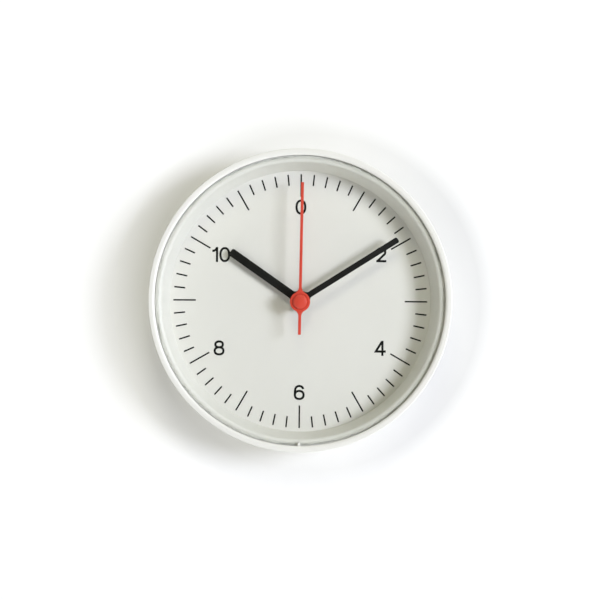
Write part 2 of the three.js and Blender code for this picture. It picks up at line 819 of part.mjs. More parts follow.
add("rotor_pinion", rotorPinion(), gearPlastic);
add("rotor_magnet", rotorMagnet(), magnetGrey);
add("fifth_wheel", fifthWheel(), gearPlastic);
add("second_wheel", secondWheel(), gearPlastic);
add("third_wheel", thirdWheel(), gearPlastic);
add("centre_wheel", centreWheel(), gearPlastic);
add("clutch_spring", clutchSpring(), steel);
add("minute_arbor", minuteArbor(), brass);
add("minute_wheel", minuteWheel(), gearPlastic);
add("hour_wheel", hourWheel(), gearPlastic);

// The setting knob on the minute wheel's arbor, with a scalloped grip.
function settingKnob() {
  const scallops = 10;
  const bottom = movementBack - 0.25 - knobThickness;
  const top = movementBack - 0.25;
  const disc = rod(knobRadius, bottom, top, centre, 30);
  const hub = rod(knobArbor + 2 * pivotGap, top - 0.5, gearFloor - 0.25, centre, 16);
  const grooves = Array.from({ length: scallops }, (_, index) =>
    rod(0.9, bottom - 1, top + 1, polar(knobRadius + 0.3, (360 * index) / scallops), 6),
  );
  const bore = rod(knobArbor + pivotGap, top - 1.25, gearFloor + 1, centre, 16);
  const slot = block([-3.2, -0.6, bottom - 1], [3.2, 0.6, bottom + 0.6]);
  return cut(joined(disc, hub), ...grooves, bore, slot);
}

add("setting_knob", settingKnob(), blackPlastic).position.set(...minuteAt, 0);

// ---------------------------------------------------------------- motor and circuit

const coreY = 21.5;
const coreWidth = 4;
const coilMiddle = -12.8;
const coilHalf = 5.7;
const flangeThickness = 0.8;

// The stator: one loop of sheet, round the rotor at the bottom and through the coil at the top.
function statorPlate() {
  const left = -24;
  const right = -1.6;
  const legWidth = 4.5;
  const barHalf = 4;
  const low = rotorAt[1] - barHalf;
  const high = coreY + coreWidth / 2;
  const shape = roundedRectangle(right - left, high - low, 1, (left + right) / 2, (low + high) / 2);
  const windowLow = rotorAt[1] + barHalf;
  const windowHigh = coreY - coreWidth / 2;
  shape.holes.push(
    roundedRectangle(
      right - left - 2 * legWidth,
      windowHigh - windowLow,
      0.5,
      (left + right) / 2,
      (windowLow + windowHigh) / 2,
    ),
  );
  const plate = extruded(shape, statorLevel, statorLevel + statorThickness);
  return cut(plate, rod(magnetRadius + statorGap, 0, caseDepth, rotorAt));
}

const coilZ = statorLevel + statorThickness / 2;

const coreHalf = [coreWidth / 2, statorThickness / 2];
const sleeveHalf = coreHalf.map((size) => size + 0.8);
const flangeHalf = [4.4, 3.25];

// A bar along the core from one X to another, with its half sizes in Y and Z.
function coreBar(from, to, [y, z]) {
  return block([from, coreY - y, coilZ - z], [to, coreY + y, coilZ + z]);
}

// The bobbin: a flat sleeve on the stator's core with a flange at each end.
function coilBobbin() {
  const left = coilMiddle - coilHalf;
  const right = coilMiddle + coilHalf;
  const hole = coreHalf.map((size) => size + pivotGap);
  return cut(
    joined(
      coreBar(left, right, sleeveHalf),
      coreBar(left, left + flangeThickness, flangeHalf),
      coreBar(right - flangeThickness, right, flangeHalf),
    ),
    coreBar(left - 1, right + 1, hole),
  );
}

// The winding fills the bobbin between its flanges.
function coilWinding() {
  const half = coilHalf - flangeThickness - pivotGap;
  const section = roundedRectangle(2 * (flangeHalf[1] - 0.25), 2 * (flangeHalf[0] - 0.3), 1);
  const turns = extruded(section, -half, half).rotateY(Math.PI / 2).translate(coilMiddle, coreY, coilZ);
  const hole = sleeveHalf.map((size) => size + pivotGap);
  return cut(turns, coreBar(coilMiddle - coilHalf, coilMiddle + coilHalf, hole));
}

add("stator_plate", statorPlate(), steel);
add("coil_bobbin", coilBobbin(), gearPlastic);
add("coil_winding", coilWinding(), copper);

const boardTop = gearFloor + boardThickness;
const boardHalfLength = halfInside - 1.75;

const boardLow = 17.5;
const boardHigh = movementTop - 1.75;
const partsY = 22; // the chip and the crystal lie along this line on the board

// The clock chip: a drop of black resin on the board.
function clockChip() {
  const profile = [
    [0, 0],
    [3, 0],
    [2.7, 0.6],
    [1.6, 1],
    [0, 1.1],
  ];
  return spun(profile).translate(6, partsY, boardTop);
}

function circuitBoard() {
  return block([-boardHalfLength, boardLow, gearFloor], [boardHalfLength, boardHigh, boardTop]);
}

add("circuit_board", circuitBoard(), board);
add("clock_chip", clockChip(), blackPlastic);

// The quartz crystal's can, lying on the board with its lead end to the left.
function quartzCrystal() {
  const radius = 1.5;
  const can = rod(radius, 0, 8, centre, 16);
  const leads = [-0.5, 0.5].map((x) => rod(0.25, -2, 0.5, [x, 0], 8));
  return joined(can, ...leads)
    .rotateY(Math.PI / 2)
    .translate(14, partsY, boardTop + radius + 0.05);
}

add("quartz_crystal", quartzCrystal(), steel);

// ---------------------------------------------------------------- battery and contacts

const contactInner = halfInside - contactThickness;
const batteryTip = contactInner - batteryGap;
const batteryStart = batteryTip - batteryLength;

// A contact strip on one side wall: a plate at the battery's end, a tail up to the board and a foot on it.
function contactStrip(side) {
  const wall = side * halfInside;
  const face = side * contactInner;
  const footEnd = side * (boardHalfLength - 2);
  const strip = (a, b, low, high, bottom, top) =>
    block([Math.min(a, b), low, bottom], [Math.max(a, b), high, top]);
  return joined(
    strip(face, wall, batteryY - 5.5, batteryY + 5.5, batteryZ - 5, batteryZ + 5),
    strip(face, wall, batteryY, 22, boardTop, boardTop + 2.25),
    strip(footEnd, wall, 19, 22, boardTop, boardTop + contactThickness),
  );
}

// The conical spring on the negative contact, as a wire wound about the battery's axis.
function contactSpring() {
  const wire = 0.3;
  const turns = 2.5;
  const steps = 30;
  const rise = batteryStart - batteryGap - wire - -contactInner;
  const points = Array.from({ length: steps + 1 }, (_, step) => {
    const share = step / steps;
    const radius = 4 - 2 * share;
    const angle = 2 * Math.PI * turns * share;
    return new THREE.Vector3(
      -contactInner + rise * share,
      batteryY + radius * Math.cos(angle),
      batteryZ + radius * Math.sin(angle),
    );
  });
  const section = new THREE.Shape().absarc(0, 0, wire, 0, 2 * Math.PI);
  return new THREE.ExtrudeGeometry(section, {
    extrudePath: new THREE.CatmullRomCurve3(points),
    steps: 24,
    curveSegments: 3,
    bevelEnabled: false,
  });
}

function batteryCell() {
  const length = batteryLength - batteryNubLength;
  return spun([
    [0, 0],
    [batteryRadius - 0.5, 0],
    [batteryRadius, 0.5],
    [batteryRadius, length - 0.5],
    [batteryRadius - 0.5, length],
    [0, length],
  ])
    .rotateY(Math.PI / 2)
    .translate(batteryStart, batteryY, batteryZ);
}

function batteryTerminal() {
  const nub = batteryNubRadius;
  const edge = 0.3;
  return spun([
    [0, 0],
    [nub, 0],
    [nub, batteryNubLength - edge],
    [nub - edge, batteryNubLength],
    [0, batteryNubLength],
  ])
    .rotateY(Math.PI / 2)
    .translate(batteryTip - batteryNubLength, batteryY, batteryZ);
}

add("positive_contact", contactStrip(1), steel);
add("negative_contact", joined(contactStrip(-1), contactSpring()), steel);
add("battery_cell", batteryCell(), batterySleeve);
add("battery_terminal", batteryTerminal(), steel);

// ---------------------------------------------------------------- hang it upright

clock.rotation.x = Math.PI / 2;
clock.position.z = -(keyholeHeight + keyholeSlotLength);

export default clock;
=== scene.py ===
import math

import bmesh
import bpy
import numpy as np
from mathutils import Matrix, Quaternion, Vector


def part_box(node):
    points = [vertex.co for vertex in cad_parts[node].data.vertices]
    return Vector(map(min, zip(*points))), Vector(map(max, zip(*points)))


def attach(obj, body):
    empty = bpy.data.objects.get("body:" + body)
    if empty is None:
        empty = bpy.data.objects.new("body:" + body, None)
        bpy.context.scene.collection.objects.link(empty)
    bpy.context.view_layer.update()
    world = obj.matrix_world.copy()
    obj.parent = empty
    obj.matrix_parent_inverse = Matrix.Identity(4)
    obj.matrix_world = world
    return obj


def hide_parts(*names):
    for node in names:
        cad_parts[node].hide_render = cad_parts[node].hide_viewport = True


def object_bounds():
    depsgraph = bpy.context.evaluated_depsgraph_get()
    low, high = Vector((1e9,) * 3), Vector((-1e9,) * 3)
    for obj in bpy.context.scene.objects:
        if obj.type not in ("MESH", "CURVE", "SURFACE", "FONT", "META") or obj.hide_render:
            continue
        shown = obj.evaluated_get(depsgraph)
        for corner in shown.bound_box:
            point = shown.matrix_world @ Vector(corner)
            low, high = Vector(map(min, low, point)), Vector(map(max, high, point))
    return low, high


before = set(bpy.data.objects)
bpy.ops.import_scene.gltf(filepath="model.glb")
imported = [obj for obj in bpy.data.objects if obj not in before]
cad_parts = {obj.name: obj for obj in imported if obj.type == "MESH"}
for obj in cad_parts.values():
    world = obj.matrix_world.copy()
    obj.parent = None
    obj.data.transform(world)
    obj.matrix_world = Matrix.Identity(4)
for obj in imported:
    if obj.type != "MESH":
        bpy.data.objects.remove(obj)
cadLow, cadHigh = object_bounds()

mm = 0.001  # pieces are described in millimetres and made in metres
plateLow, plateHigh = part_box("dial_plate")
axisX = (plateLow.x + plateHigh.x) / 2  # the hands turn about this line, which runs along Y
axisZ = (plateLow.z + plateHigh.z) / 2
wallY = cadHigh.y
dialY = plateLow.y  # the dial's face; smaller Y is further out of the wall
rimY = cadLow.y


def faceOf(node):
    # how far a node's front stands out of the wall, in mm
    return (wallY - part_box(node)[0].y) / mm


print("frame loaded: dial face at", round(dialY / mm, 2), "mm, rim at", round(rimY / mm, 2), "mm")


# ---- surfaces on grids

def closedSurface(name, grid, aroundRows=True, sharpDegrees=35):
    # A closed surface from a grid of points, rows by columns by 3. The columns join round. The rows join
    # round too, or else the first and the last are single points.
    rows, columns = grid.shape[:2]
    index = np.arange(rows * columns).reshape(rows, columns)
    right = np.roll(index, -1, axis=1)
    above = np.roll(index, -1, axis=0)
    aboveRight = np.roll(right, -1, axis=0)
    quads = np.stack([index, right, aboveRight, above], axis=2)
    if not aroundRows:
        quads = quads[:-1]
    mesh = bpy.data.meshes.new(name)
    mesh.from_pydata(grid.reshape(-1, 3).tolist(), [], quads.reshape(-1, 4).tolist())
    return finished(name, mesh, sharpDegrees)


def finished(name, mesh, sharpDegrees=35, merge=1e-7):
    # doubles merged and faces turned outwards
    work = bmesh.new()
    work.from_mesh(mesh)
    bpy.data.meshes.remove(mesh)
    bmesh.ops.remove_doubles(work, verts=work.verts, dist=merge)
    bmesh.ops.dissolve_degenerate(work, edges=work.edges, dist=merge)
    bmesh.ops.recalc_face_normals(work, faces=work.faces)
    return placed(name, work, sharpDegrees)


def placed(name, work, sharpDegrees):
    # a bmesh as a smooth-shaded piece in the scene, with its sharp edges kept
    mesh = bpy.data.meshes.new(name)
    work.to_mesh(mesh)
    work.free()
    mesh.shade_smooth()
    mesh.set_sharp_from_angle(angle=math.radians(sharpDegrees))
    piece = bpy.data.objects.new(name, mesh)
    bpy.context.scene.collection.objects.link(piece)
    return piece


def arcPoints(centre, radius, start, end, steps):
    # Points of an arc in the plane of a profile, angles in degrees.
    angle = np.radians(np.linspace(start, end, steps + 1))
    return np.stack([centre[0] + radius * np.cos(angle), centre[1] + radius * np.sin(angle)], axis=1)


def revolved(name, profile, segments, at=(0.0, 0.0)):
    # A profile of (radius, height out of the wall) in mm, turned about an axis along Y through a place given
    # in mm from the hands' axis: x = r sin a, z = r cos a. It closes on itself unless it starts on the axis.
    profile = np.asarray(profile, float) * mm
    angle = np.linspace(0, 2 * np.pi, segments, endpoint=False)
    radius, height = profile[:, :1], profile[:, 1:]
    grid = np.stack(
        [
            axisX + at[0] * mm + radius * np.sin(angle),
            np.broadcast_to(wallY - height, (len(profile), segments)),
            axisZ + at[1] * mm + radius * np.cos(angle),
        ],
        axis=2,
    )
    return closedSurface(name, grid, aroundRows=profile[0, 0] > 0)


def outward(points):
    # Unit normals of a closed outline that runs clockwise: the mean direction at each point, turned left.
    along = np.roll(points, -1, axis=0) - np.roll(points, 1, axis=0)
    normal = np.stack([-along[:, 1], along[:, 0]], axis=1)
    return normal / np.linalg.norm(normal, axis=1, keepdims=True)


def plated(name, outline, hole, bottom, top, bevel, turn=0.0, groove=(), grooveAt=(0.0, 0.0)):
    # A flat plate in mm from a closed outline round the hands' axis, with a round hole and rounded edges.
    # Each ring of the grid is the outline moved inwards by an amount at a height, and the last rings are
    # round: the groove's, as (radius, depth) about its own middle, and the hole's. Their points stand in the
    # same directions as the outline's. turn is clockwise, in degrees.
    normal = outward(outline)
    direction = outline / np.linalg.norm(outline, axis=1, keepdims=True)
    rounding = np.radians(np.linspace(0, 90, 4))
    rings = [(bevel, bottom), (bevel * 0.3, bottom + bevel * 0.3), (0, bottom + bevel)]
    rings += list(zip(bevel * (1 - np.cos(rounding)), top - bevel * (1 - np.sin(rounding))))
    circles = [(radius, top - depth, grooveAt) for radius, depth in groove]
    circles += [(hole, top, (0.0, 0.0)), (hole, bottom, (0.0, 0.0))]
    flatRings = [(outline - normal * move, height) for move, height in rings]
    flatRings += [(direction * radius + centre, height) for radius, height, centre in circles]
    grid = np.stack([np.column_stack([ring, np.full(len(ring), height)]) for ring, height in flatRings]) * mm
    c, s = math.cos(math.radians(turn)), math.sin(math.radians(turn))
    x, z = grid[..., 0] * c + grid[..., 1] * s, grid[..., 1] * c - grid[..., 0] * s
    turned = np.stack([axisX + x, wallY - grid[..., 2], axisZ + z], axis=2)
    return closedSurface(name, turned, sharpDegrees=50)


# ---- shader maths

class Wire:
    # One output socket, with the operators that add Math nodes.
    def __init__(self, recipe, socket):
        self.recipe, self.socket = recipe, socket

    def maths(self, operation, first, second):
        return self.recipe.node("ShaderNodeMath", {"operation": operation}, {0: first, 1: second}).out(0)

    def __add__(self, other):
        return self.maths("ADD", self, other)

    def __mul__(self, other):
        return self.maths("MULTIPLY", self, other)

    __radd__, __rmul__ = __add__, __mul__

    def __pow__(self, other):
        return self.maths("POWER", self, other)


class Made:
    # A node that was added, whose outputs are wires.
    def __init__(self, recipe, node):
        self.recipe, self.made = recipe, node

    def out(self, key):
        return Wire(self.recipe, self.made.outputs[key])


class Recipe:
    # A material's node tree, with the Object coordinates that every pattern here reads.
    def __init__(self, name):
        self.material = bpy.data.materials.new(name)
        self.material.use_nodes = True
        self.tree = self.material.node_tree
        self.tree.nodes.clear()
        self.place = self.node("ShaderNodeTexCoord", {}, {}).out("Object")

    def node(self, kind, settings, sockets):
        made = self.tree.nodes.new(kind)
        for key, value in settings.items():
            setattr(made, key, value)
        for key, value in sockets.items():
            if isinstance(value, Wire):
                self.tree.links.new(value.socket, made.inputs[key])
            else:
                made.inputs[key].default_value = value
        return Made(self, made)

    def noise(self, scale, detail=2.0, roughness=0.5, place=None):
        sockets = {"Vector": place or self.place, "Scale": scale, "Detail": detail, "Roughness": roughness}
        return self.node("ShaderNodeTexNoise", {}, sockets).out("Fac")

    def spread(self, value, low, high, start=0.0, end=1.0):
        # value from low..high to start..end, held at both ends
        sockets = {"Value": value, "From Min": low, "From Max": high, "To Min": start, "To Max": end}
        return self.node("ShaderNodeMapRange", {"clamp": True}, sockets).out("Result")

    def blend(self, share, first, second):
        # one colour where share is 0, the other where it is 1
        return self.node("ShaderNodeMix", {"data_type": "RGBA"}, {0: share, 6: first, 7: second}).out(2)

    def vectors(self, operation, sockets, result):
        return self.node("ShaderNodeVectorMath", {"operation": operation}, sockets).out(result)

    def stretched(self, scale):
        sockets = {"Vector": self.place, "Scale": scale}
        return self.node("ShaderNodeMapping", {"vector_type": "POINT"}, sockets).out(0)

    def bump(self, height, strength, distance):
        sockets = {"Height": height, "Strength": strength, "Distance": distance}
        return self.node("ShaderNodeBump", {}, sockets).out(0)

    def clear(self, tint=(1.0, 1.0, 1.0, 1.0)):
        return self.node("ShaderNodeBsdfTransparent", {}, {"Color": tint}).out(0)

    def mixed(self, share, first, second):
        # one shader where share is 0, the other where it is 1
        return self.node("ShaderNodeMixShader", {}, {0: share, 1: first, 2: second}).out(0)

    def principled(self, **sockets):
        spaced = {key.replace("_", " "): value for key, value in sockets.items()}
        return self.node("ShaderNodeBsdfPrincipled", {}, spaced).out(0)

    def done(self, shader):
        self.node("ShaderNodeOutputMaterial", {}, {"Surface": shader})
        return self.material


def tone(red, green, blue):
    return (red, green, blue, 1.0)


def paint(piece, material):
    piece.data.materials.clear()
    piece.data.materials.append(material)
    return piece


def give(piece, body, material, slot, *nodes):
    # a new piece: what it rides on, how it looks, and which CAD nodes it stands for
    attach(piece, body)
    paint(piece, material)
    if nodes:
        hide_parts(*nodes)
    return piece


# ---- finishes

def mouldedPlastic(name, color, shade, roughness, grain=900.0, depth=0.00002):
    # A fine spark-eroded moulding: colour drifts a little over centimetres, gloss over millimetres.
    recipe = Recipe(name)
    drift = recipe.noise(14.0, 3.0)
    base = recipe.blend(recipe.spread(drift, 0.35, 0.65), color, shade)
    gloss = recipe.spread(recipe.noise(220.0, 2.0), 0.3, 0.7, roughness - 0.05, roughness + 0.05)
    skin = recipe.bump(recipe.noise(grain, 2.0), 0.12, depth)
    return recipe.done(recipe.principled(Base_Color=base, Roughness=gloss, Normal=skin))


def paintedSheet(name, color, shade, roughness, shine=0.5):
    # Sprayed sheet metal: an even coat with faint orange peel and a few specks of dust.
    recipe = Recipe(name)
    drift = recipe.noise(60.0, 3.0)
    specks = recipe.spread(recipe.noise(1500.0, 1.0), 0.72, 0.78)
    base = recipe.blend(recipe.spread(drift, 0.3, 0.7), color, shade)
    gloss = recipe.spread(drift, 0.3, 0.7, roughness - 0.05, roughness + 0.06) + specks * 0.1
    skin = recipe.bump(recipe.noise(700.0, 2.0), 0.1, 0.00002)
    coat = recipe.principled(Base_Color=base, Roughness=gloss, Normal=skin, Specular_IOR_Level=shine)
    return recipe.done(coat)


def mattPaper(name, color, shade):
    # Coated card: soft mottling, and fibres that show only in the bump.
    recipe = Recipe(name)
    mottle = recipe.noise(9.0, 4.0, 0.6)
    base = recipe.blend(recipe.spread(mottle, 0.35, 0.65), color, shade)
    fibres = recipe.noise(1.0, 3.0, 0.6, recipe.stretched((2600.0, 1.0, 1500.0)))
    gloss = recipe.spread(fibres, 0.3, 0.7, 0.62, 0.72)
    skin = recipe.bump(fibres, 0.1, 0.00001)
    return recipe.done(recipe.principled(Base_Color=base, Roughness=gloss, Normal=skin))


def printedInk(name, color):
    # Screen ink: almost black, a little thinner in places.
    recipe = Recipe(name)
    cover = recipe.spread(recipe.noise(900.0, 3.0), 0.3, 0.7)
    base = recipe.blend(cover, color, tone(0.012, 0.012, 0.011))
    gloss = recipe.spread(cover, 0, 1, 0.5, 0.6)
    return recipe.done(recipe.principled(Base_Color=base, Roughness=gloss, Specular_IOR_Level=0.1))


def metal(name, color, shade, roughness, stretch=(40.0, 900.0, 900.0)):
    # Bare metal with fine drawn or turned lines along one direction.
    recipe = Recipe(name)
    lines = recipe.noise(1.0, 3.0, 0.6, recipe.stretched(stretch))
    stain = recipe.noise(150.0, 3.0)
    base = recipe.blend(recipe.spread(stain, 0.35, 0.7), color, shade)
    gloss = recipe.spread(lines, 0.3, 0.7, roughness - 0.07, roughness + 0.1)
    skin = recipe.bump(lines, 0.15, 0.00001)
    return recipe.done(recipe.principled(Base_Color=base, Metallic=1.0, Roughness=gloss, Normal=skin))


def clearPane(name, tint):
    # A clear sheet: mostly see-through, with the reflection that grows towards grazing angles.
    recipe = Recipe(name)
    haze = recipe.spread(recipe.noise(30.0, 2.0), 0.3, 0.7, 0.01, 0.03)
    gloss = recipe.node("ShaderNodeBsdfGlossy", {}, {"Color": tone(1, 1, 1), "Roughness": haze}).out(0)
    # Schlick's reflection, which is the same from both sides of the sheet: f = 0.04 + 0.96 (1 - cos)^5
    grazing = recipe.node("ShaderNodeLayerWeight", {}, {"Blend": 0.5}).out("Facing")
    share = recipe.spread(grazing ** 5, 0, 1, 0.04, 1)
    return recipe.done(recipe.mixed(share, recipe.clear(tint), gloss))


def frostedEdgeAndPaintedShade(name, color, shade):
    # The sawn edge of a clear sheet: matt and partly see-through, with a near-black grey that is painted
    # shade, which darkens the gap round the lens.
    recipe = Recipe(name)
    saw = recipe.noise(1.0, 2.0, 0.5, recipe.stretched((200.0, 4000.0, 200.0)))
    base = recipe.blend(saw, color, shade)
    matt = recipe.principled(Base_Color=base, Roughness=recipe.spread(saw, 0, 1, 0.45, 0.65))
    return recipe.done(recipe.mixed(0.7, recipe.clear(), matt))


def bondedTape(name, tint, shade):
    # Clear tape with no air behind it: it only tints what lies under it, a little unevenly.
    recipe = Recipe(name)
    share = recipe.spread(recipe.noise(60.0, 3.0), 0.3, 0.7)
    return recipe.done(recipe.mixed(share, recipe.clear(tint), recipe.clear(shade)))


whiteCase = mouldedPlastic("case_white", tone(0.77, 0.765, 0.72), tone(0.745, 0.74, 0.695), 0.42)
coverTones = (tone(0.80, 0.80, 0.77), tone(0.76, 0.76, 0.73))
coverWhite = mouldedPlastic("cover_white", *coverTones, 0.55, 500.0, 0.00005)
dialCard = mattPaper("dial_card", tone(0.785, 0.77, 0.73), tone(0.765, 0.75, 0.71))
dialInk = printedInk("dial_ink", tone(0.006, 0.006, 0.005))
handBlack = paintedSheet("hand_black_paint", tone(0.006, 0.006, 0.005), tone(0.009, 0.009, 0.008), 0.5, 0.12)
handRed = paintedSheet("hand_red_paint", tone(0.72, 0.065, 0.035), tone(0.66, 0.055, 0.03), 0.38)
clearPlastic = clearPane("lens_clear", tone(0.985, 0.99, 0.985))
# the lens edge's near-black tones are painted shade for the dark gap round the lens
lensEdge = frostedEdgeAndPaintedShade("lens_edge", tone(0.04, 0.04, 0.037), tone(0.07, 0.07, 0.065))
clearTape = bondedTape("clear_tape", tone(0.985, 0.985, 0.98), tone(0.96, 0.96, 0.95))
blackTones = (tone(0.018, 0.018, 0.019), tone(0.026, 0.026, 0.027))
movementBlack = mouldedPlastic("movement_black", *blackTones, 0.5, 1400.0)
acetal = mouldedPlastic("wheel_acetal", tone(0.80, 0.77, 0.66), tone(0.74, 0.71, 0.60), 0.4, 1600.0)
turnedBrass = metal("turned_brass", tone(0.72, 0.50, 0.20), tone(0.60, 0.40, 0.15), 0.28)
platedSteel = metal("plated_steel", tone(0.62, 0.62, 0.60), tone(0.50, 0.50, 0.49), 0.3)
copperTones = (tone(0.55, 0.18, 0.07), tone(0.45, 0.13, 0.05))
copperWire = metal("copper_wire", *copperTones, 0.35, (5000.0, 200.0, 200.0))
print("finishes made")


# ---- case

shell = {
    "depth": (wallY - rimY) / mm,
    "radius": (cadHigh.x - cadLow.x) / 2 / mm,
    "wall": 2.5,
    "rimWidth": 5.7,  # outside of the case to the lens pocket
    "rimRound": 0.9,
    "rimFall": 0.1,  # the rim's face leans in towards the dial by this much
    "innerRound": 4.0,
    "innerTilt": 46,  # degrees that the inner round turns through before it meets the pocket
    "grooveWidth": 0.4,  # a narrow groove round the lens, deeper than its seat
    "grooveDepth": 1.0,
    "lensSeatWidth": 3.8,
    "seatFlat": 1.4,
    "seatSlope": 20,  # degrees that the rest of the seat leans in towards the dial
    "shoulderRound": 3.3,
    "shoulderWall": 1.0,  # the moulding's underside keeps this far from the shoulder's middle
    "taper": 4,  # degrees between the inner wall and the hands' axis where the shoulder ends
    "footGap": 0.5,  # the inner wall's foot stands this far outside the dial
    "footCurve": [(0.6, 3.0), (0.25, 1.2)],  # outwards from the foot, and above the dial
    "floor": 2.25,
    "shaftHole": 4.5,
    "coverLedge": {"width": 1.5, "low": 3.0, "high": 5.5},  # holds the back cover
    "backRound": 0.6,
    "backInnerRound": 0.3,
    "keyWidth": 2.25,  # the tongue that stands in the lens's notch
    "keyLength": 3.0,
    "keySquareness": 0.25,
    "keyFoot": 0.5,  # below the lens seat
    "keyChamfer": 0.3,
    "facets": 360,
}
pane = {
    "thickness": 1.3,
    "edgeGap": 0.4,
    "offCentre": (-0.2, 0.15),
    "chamfer": 0.1,
    "notch": 3.4,
    "notchDepth": 3.2,
}
tape = {"thickness": 0.25, "inset": 0.5}
cardThickness = 0.75
dialHeight = faceOf("dial_plate")
dialRadius = (plateHigh.x - plateLow.x) / 2 / mm
lensFront = faceOf("front_lens")
lensBack = lensFront - pane["thickness"]
seatHeight = lensBack - tape["thickness"]


def caseProfile(size):
    # The outline of the case's section, from the wall up the outside, over the rim, down to the lens seat,
    # round the shoulder, down the tapered inner wall, along the floor to the shaft hole, and back behind.
    outer, depth, wall = size["radius"], size["depth"], size["wall"]
    pocket = outer - size["rimWidth"]
    crest = outer - size["rimRound"]
    reach = size["innerRound"] * math.sin(math.radians(size["innerTilt"]))
    roundHeight = depth - size["rimFall"] - size["innerRound"]
    grooveInner = pocket - size["grooveWidth"]
    grooveFloor = seatHeight - size["grooveDepth"]
    foot = dialRadius + size["footGap"]
    floorTop = dialHeight - cardThickness
    floorUnder = floorTop - size["floor"]
    slope = math.radians(size["seatSlope"])
    seatEdge = pocket - size["lensSeatWidth"]
    flatEnd = grooveInner - size["seatFlat"]
    slopeDrop = (flatEnd - seatEdge) * math.tan(slope)
    shoulder = size["shoulderRound"]
    shoulderRadius = seatEdge + shoulder * math.sin(slope)
    shoulderHeight = seatHeight - slopeDrop - shoulder * math.cos(slope)
    shoulderEnd = 180 - size["taper"]
    wallTop = shoulderRadius - shoulder
    underside = shoulderHeight + size["shoulderWall"]
    inside = outer - wall
    ledge = size["coverLedge"]
    ledgeEdge = inside - ledge["width"]
    back, backInner = size["backRound"], size["backInnerRound"]
    points = [
        arcPoints((outer - back, back), back, -90, 0, 4),
        arcPoints((crest, depth - size["rimRound"]), size["rimRound"], 0, 90, 10),
        arcPoints((pocket + reach, roundHeight), size["innerRound"], 90, 90 + size["innerTilt"], 12),
        [(pocket, grooveFloor), (grooveInner, grooveFloor), (grooveInner, seatHeight), (flatEnd, seatHeight)],
        arcPoints((shoulderRadius, shoulderHeight), shoulder, 90 + size["seatSlope"], shoulderEnd, 10),
        [(foot + out, dialHeight + above) for out, above in size["footCurve"]],
        [(foot, floorTop), (size["shaftHole"], floorTop), (size["shaftHole"], floorUnder)],
        [(foot + wall, floorUnder), (wallTop + wall, shoulderHeight)],
        [(seatEdge + size["shoulderWall"], underside), (inside, underside)],
        [(inside, ledge["high"] + ledge["width"]), (ledgeEdge, ledge["high"])],
        [(ledgeEdge, ledge["low"]), (inside, ledge["low"])],
        arcPoints((inside + backInner, backInner), backInner, 180, 270, 2),
    ]
    return np.concatenate([np.asarray(part, float) for part in points])


def lensKey(size):
    # The small tongue of the case that stands in the lens's notch, with rounded edges: a rounded square
    # section x = a cos^n, z = b sin^n, carried through the lens's depth.
    angle = np.linspace(0, 2 * np.pi, 48, endpoint=False)
    x, z = (np.sign(wave) * np.abs(wave) ** size["keySquareness"] for wave in (np.cos(angle), np.sin(angle)))
    middle = (size["keyLength"] - 1) / 2 - size["radius"] + size["rimWidth"]
    foot = seatHeight - size["keyFoot"]
    levels = [(0, foot), (1, foot), (1, lensFront - size["keyChamfer"]), (0.9, lensFront), (0, lensFront)]
    share, height = np.array(levels).T[:, :, None]
    across = share * x * size["keyWidth"] / 2
    up = middle + share * z * (size["keyLength"] + 1) / 2
    away = np.broadcast_to(wallY - height * mm, across.shape)
    grid = np.stack([axisX + across * mm, away, axisZ + up * mm], axis=2)
    return closedSurface("lens_key", grid, aroundRows=False)


caseBody = revolved("case_body", caseProfile(shell), shell["facets"])
give(caseBody, "case", whiteCase, "white_plastic", "case_shell")
give(lensKey(shell), "case", whiteCase, "white_plastic")
print("case made")


# ---- lens

def lensDisc(size):
    # A disc with a small chamfer at both edges, which sits a little off centre in its pocket. Its radius is
    # the pocket's less the gap, and it falls to the bottom of the notch within the notch's width.
    radius = shell["radius"] - shell["rimWidth"] - size["edgeGap"]
    half = size["notch"] / 2 / radius
    steep = half + 0.0006  # radians: the notch's sides are almost straight
    corners = [-steep, -half, half, steep]
    angle = np.sort(np.concatenate([np.linspace(-np.pi, np.pi, shell["facets"], endpoint=False), corners]))
    edge = radius - np.interp(np.abs(angle), [half, steep], [size["notchDepth"], 0])
    levels = [(0, lensBack), (-size["chamfer"], lensBack), (0, lensBack + size["chamfer"])]
    levels += [(0, lensFront - size["chamfer"]), (-size["chamfer"], lensFront), (0, lensFront)]
    rings = []
    for place, (move, height) in enumerate(levels):
        r = np.zeros_like(edge) if place in (0, len(levels) - 1) else edge + move
        x, z = -r * np.sin(angle), -r * np.cos(angle)  # angle 0 is at the bottom of the dial
        x, z = x + size["offCentre"][0], z + size["offCentre"][1]
        rings.append(np.stack([axisX + x * mm, np.full_like(x, wallY - height * mm), axisZ + z * mm], axis=1))
    return closedSurface("lens_pane", np.stack(rings), aroundRows=False, sharpDegrees=20)


lens = give(lensDisc(pane), "case", clearPlastic, "clear_lens", "front_lens")
lens.data.materials.append(lensEdge)
normals = np.empty(len(lens.data.polygons) * 3, np.float32)
lens.data.polygons.foreach_get("normal", normals)
lens.data.polygons.foreach_set("material_index", (np.abs(normals[1::3]) < 0.5).astype(np.int32))

tapeOuter = shell["radius"] - shell["rimWidth"] - shell["grooveWidth"] - tape["inset"]
tapeInner = shell["radius"] - shell["rimWidth"] - shell["lensSeatWidth"] + tape["inset"]
tapeProfile = [(tapeOuter, seatHeight), (tapeOuter, lensBack), (tapeInner, lensBack), (tapeInner, seatHeight)]
tapeRing = revolved("lens_tape_ring", tapeProfile, shell["facets"])
give(tapeRing, "case", clearTape, "clear_lens", "lens_tape")
print("lens made")


# ---- dial and its print

